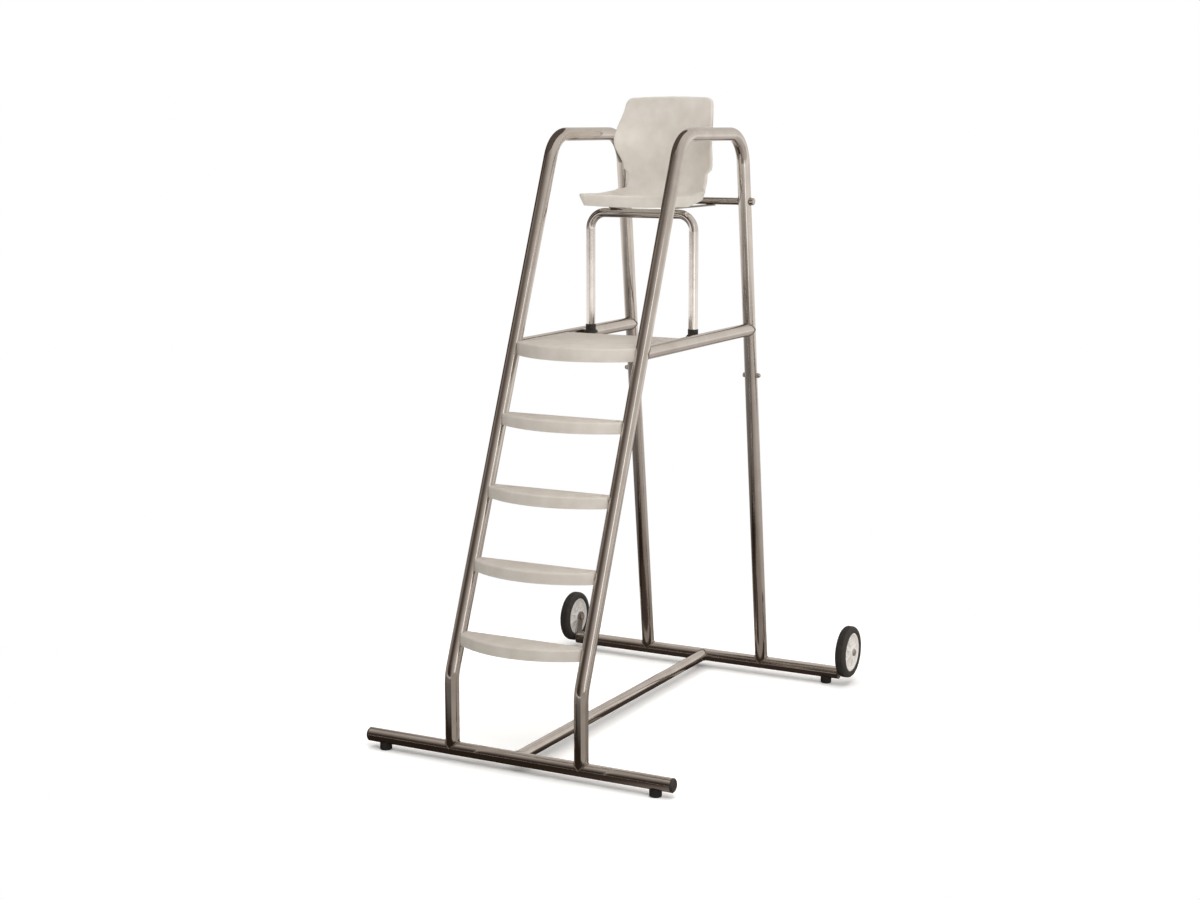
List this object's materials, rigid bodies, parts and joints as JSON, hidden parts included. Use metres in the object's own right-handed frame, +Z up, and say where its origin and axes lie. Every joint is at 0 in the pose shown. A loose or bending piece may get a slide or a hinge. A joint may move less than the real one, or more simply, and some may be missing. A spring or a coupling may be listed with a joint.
{
  "type": "lifeguard chair",
  "caption": "Tall lifeguard chair of bent stainless tube with moulded treads, a standing deck, a shell seat and a wheeled base.",
  "frame": {"origin": "on the floor, at the middle of the chair's width and depth", "axes": "+Z up, -Y towards the climber at the ladder, +X to the right hand of someone facing the ladder"},
  "size_m": [1.2672, 1.6714, 2.2508],
  "materials": {
    "tube_steel": "satin polished stainless steel",
    "fixing_steel": "turned and polished stainless steel",
    "bracket_steel": "dull stainless plate",
    "tread_plastic": "pebbled moulded plastic, warm pale grey",
    "seat_plastic": "satin moulded shell, pale beige",
    "black_plastic": "moulded black plastic",
    "black_rubber": "matt moulded rubber",
    "tyre_rubber": "solid black rubber tyre",
    "hub_plastic": "moulded pale grey nylon"
  },
  "bodies": {
    "frame": {"front_foot_bar": "tube_steel", "rear_foot_bar": "tube_steel", "base_spine": "tube_steel", "left_bar_cap": "black_plastic", "right_bar_cap": "black_plastic", "front_left_foot": "black_rubber", "front_right_foot": "black_rubber", "rear_left_foot": "black_rubber", "rear_right_foot": "black_rubber", "left_side_frame": "tube_steel", "right_side_frame": "tube_steel", "left_rear_leg": "tube_steel", "right_rear_leg": "tube_steel", "left_leg_bolt": "fixing_steel", "right_leg_bolt": "fixing_steel", "tread_1": "tread_plastic", "tread_2": "tread_plastic", "tread_3": "tread_plastic", "tread_4": "tread_plastic", "deck": "tread_plastic", "left_deck_rail": "tube_steel", "right_deck_rail": "tube_steel", "seat_frame": "tube_steel", "left_seat_boot": "black_plastic", "right_seat_boot": "black_plastic", "seat_cross_tube": "tube_steel", "left_cross_cap": "fixing_steel", "right_cross_cap": "fixing_steel", "left_seat_bearer": "bracket_steel", "right_seat_bearer": "bracket_steel", "seat_mounts": "black_plastic", "seat_shell": "seat_plastic", "left_wheel_bracket": "bracket_steel", "right_wheel_bracket": "bracket_steel", "left_axle": "fixing_steel", "right_axle": "fixing_steel"},
    "left_wheel": {"left_tyre": "tyre_rubber", "left_wheel_hub": "hub_plastic"},
    "right_wheel": {"right_tyre": "tyre_rubber", "right_wheel_hub": "hub_plastic"}
  },
  "joints": [
    {"name": "left_wheel_spin", "type": "hinge", "parent": "frame", "child": "left_wheel", "pos_m": [-0.6043, 0.7357, 0.128], "axis": [1, 0, 0], "continuous": true},
    {"name": "right_wheel_spin", "type": "hinge", "parent": "frame", "child": "right_wheel", "pos_m": [0.6043, 0.7357, 0.128], "axis": [1, 0, 0], "continuous": true}
  ]
}
